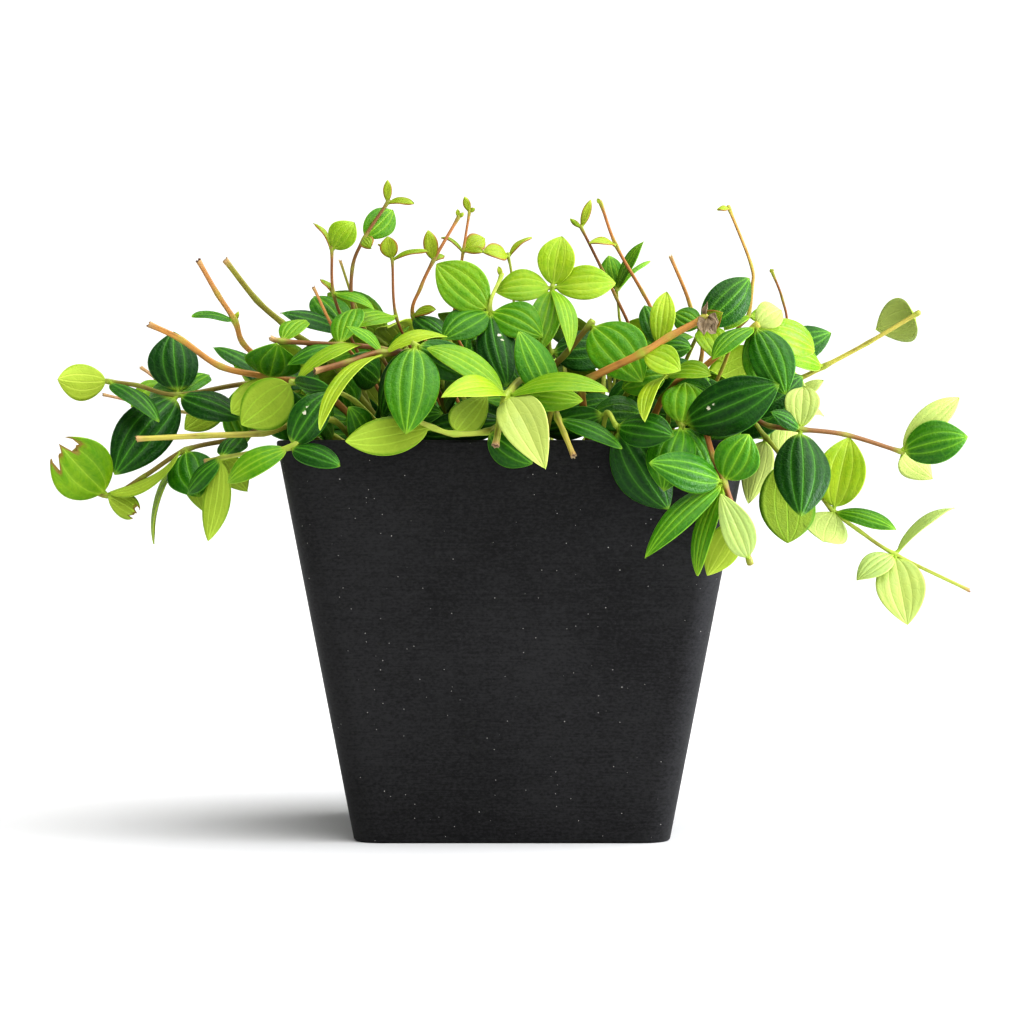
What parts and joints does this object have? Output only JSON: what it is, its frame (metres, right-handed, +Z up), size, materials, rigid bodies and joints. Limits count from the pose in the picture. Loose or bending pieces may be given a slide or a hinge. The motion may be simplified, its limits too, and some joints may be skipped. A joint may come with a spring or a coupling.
{
  "type": "potted beetle peperomia",
  "caption": "A trailing peperomia with whorls of oval striped leaves on thin stems, growing in soil in a square tapered black pot.",
  "frame": {"origin": "the middle of the pot's flat underside", "axes": "+Z up, and -Y the front, which the picture shows"},
  "size_m": [0.2757, 0.2227, 0.2051],
  "materials": {
    "pot": "matt black, with faint level brush marks and tiny pale specks",
    "soil": "dark crumbly soil",
    "foliage": "glossy leaves with pale stripes, on satin stems"
  },
  "bodies": {
    "root": {"pot": "pot", "soil": "soil", "stem_reach_left": "foliage", "stem_cut_left_thin": "foliage", "stem_behind_left": "foliage", "stem_reach_low_left": "foliage", "stem_cut_left_yellow": "foliage", "stem_hang_left": "foliage", "stem_cut_left_thick": "foliage", "stem_stub_left_front": "foliage", "stem_cut_left_tall_orange": "foliage", "stem_cut_left_tall_olive": "foliage", "stem_cut_mid_left_slim": "foliage", "stem_lying_brown": "foliage", "stem_cut_front_brown": "foliage", "stem_hang_striped": "foliage", "stem_along_rim": "foliage", "stem_centre_whorl": "foliage", "stem_stub_front": "foliage", "stem_centre_tall_whorl": "foliage", "stem_lime_whorl": "foliage", "stem_shoot_far_left": "foliage", "stem_shoot_highest": "foliage", "stem_cut_left_back_slim": "foliage", "stem_shoot_left_of_centre": "foliage", "stem_shoot_forked": "foliage", "stem_shoot_centre": "foliage", "stem_shoot_by_centre": "foliage", "stem_shoot_right_of_centre": "foliage", "stem_shoot_right": "foliage", "stem_shoot_right_behind": "foliage", "stem_cut_right_slim": "foliage", "stem_cut_centre_olive": "foliage", "stem_cut_right_brown": "foliage", "stem_upright_lime": "foliage", "stem_behind_husk": "foliage", "stem_cut_right_thick": "foliage", "stem_shoot_far_right": "foliage", "stem_shoot_edge_right": "foliage", "stem_over_rim_right": "foliage", "stem_hang_right": "foliage", "stem_hang_right_dark": "foliage", "stem_right_filler": "foliage", "stem_reach_right_high": "foliage", "stem_reach_right": "foliage", "stem_reach_low_right": "foliage", "stem_pale_right": "foliage", "stem_behind_1": "foliage", "stem_behind_2": "foliage", "stem_behind_3": "foliage", "stem_behind_4": "foliage", "stem_behind_5": "foliage", "stem_behind_6": "foliage", "stem_behind_7": "foliage", "stem_behind_8": "foliage", "stem_behind_9": "foliage", "stem_behind_10": "foliage"}
  },
  "joints": []
}
